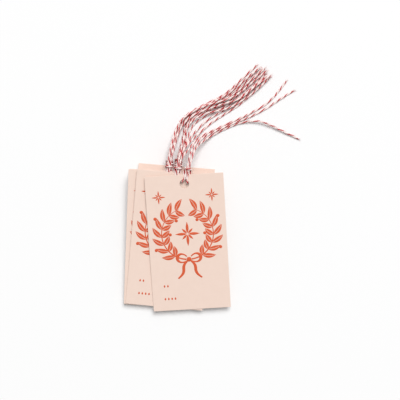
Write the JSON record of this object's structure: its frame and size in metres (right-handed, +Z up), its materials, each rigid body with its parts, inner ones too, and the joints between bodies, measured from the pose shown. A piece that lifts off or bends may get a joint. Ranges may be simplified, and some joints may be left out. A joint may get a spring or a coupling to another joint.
{
  "type": "gift tag set",
  "caption": "Fanned pile of printed card gift tags, each hung on its own striped cotton twine by a lark's head hitch, with the loose tails drawn together in a bundle.",
  "frame": {"origin": "on the table, under the middle of the pile of cards and hitches", "axes": "+Y along the cards towards their holes, +Z up out of the printed fronts, +X to the right"},
  "size_m": [0.116, 0.1632, 0.0188],
  "materials": {
    "printed_card": "pale blush uncoated card with an orange-red print",
    "striped_twine": "soft twisted cotton, white with one red ply"
  },
  "bodies": {
    "twines": {"hitch_1": "striped_twine", "hitch_2": "striped_twine", "hitch_3": "striped_twine", "hitch_4": "striped_twine", "hitch_5": "striped_twine", "hitch_6": "striped_twine", "hitch_7": "striped_twine", "hitch_8": "striped_twine", "tail_1_left": "striped_twine", "tail_1_right": "striped_twine", "tail_2_left": "striped_twine", "tail_2_right": "striped_twine", "tail_3_left": "striped_twine", "tail_3_right": "striped_twine", "tail_4_left": "striped_twine", "tail_4_right": "striped_twine", "tail_5_left": "striped_twine", "tail_5_right": "striped_twine", "tail_6_left": "striped_twine", "tail_6_right": "striped_twine", "tail_7_left": "striped_twine", "tail_7_right": "striped_twine", "tail_8_left": "striped_twine", "tail_8_right": "striped_twine"},
    "tag_1": {"card_1": "printed_card"},
    "tag_2": {"card_2": "printed_card"},
    "tag_3": {"card_3": "printed_card"},
    "tag_4": {"card_4": "printed_card"},
    "tag_5": {"card_5": "printed_card"},
    "tag_6": {"card_6": "printed_card"},
    "tag_7": {"card_7": "printed_card"},
    "tag_8": {"card_8": "printed_card"}
  },
  "joints": [
    {"name": "tag_1_swing", "type": "hinge", "parent": "twines", "child": "tag_1", "pos_m": [0.00491, 0.033, 0.01477], "axis": [0, -0.1177, 0.9931], "range_deg": [-26, 16]},
    {"name": "tag_2_swing", "type": "hinge", "parent": "twines", "child": "tag_2", "pos_m": [-0.00079, 0.0342, 0.01301], "axis": [0, -0.1034, 0.9946], "range_deg": [-18, 24]},
    {"name": "tag_3_swing", "type": "hinge", "parent": "twines", "child": "tag_3", "pos_m": [-0.00618, 0.03558, 0.01123], "axis": [0, -0.0891, 0.996], "range_deg": [-28, 15]},
    {"name": "tag_4_swing", "type": "hinge", "parent": "twines", "child": "tag_4", "pos_m": [-0.00063, 0.03498, 0.00925], "axis": [0, -0.0747, 0.9972], "range_deg": [-28, 28]},
    {"name": "tag_5_swing", "type": "hinge", "parent": "twines", "child": "tag_5", "pos_m": [-0.00634, 0.03522, 0.00735], "axis": [0, -0.0603, 0.9982], "range_deg": [-30, 27]},
    {"name": "tag_6_swing", "type": "hinge", "parent": "twines", "child": "tag_6", "pos_m": [-0.0009, 0.03582, 0.00545], "axis": [0, -0.0458, 0.9989], "range_deg": [-30, 30]},
    {"name": "tag_7_swing", "type": "hinge", "parent": "twines", "child": "tag_7", "pos_m": [-0.00639, 0.03648, 0.00354], "axis": [0, -0.0313, 0.9995], "range_deg": [-30, 27]},
    {"name": "tag_8_swing", "type": "hinge", "parent": "twines", "child": "tag_8", "pos_m": [-0.0009, 0.03918, 0.00165], "axis": [0, -0.0168, 0.9999], "range_deg": [-30, 30]}
  ]
}
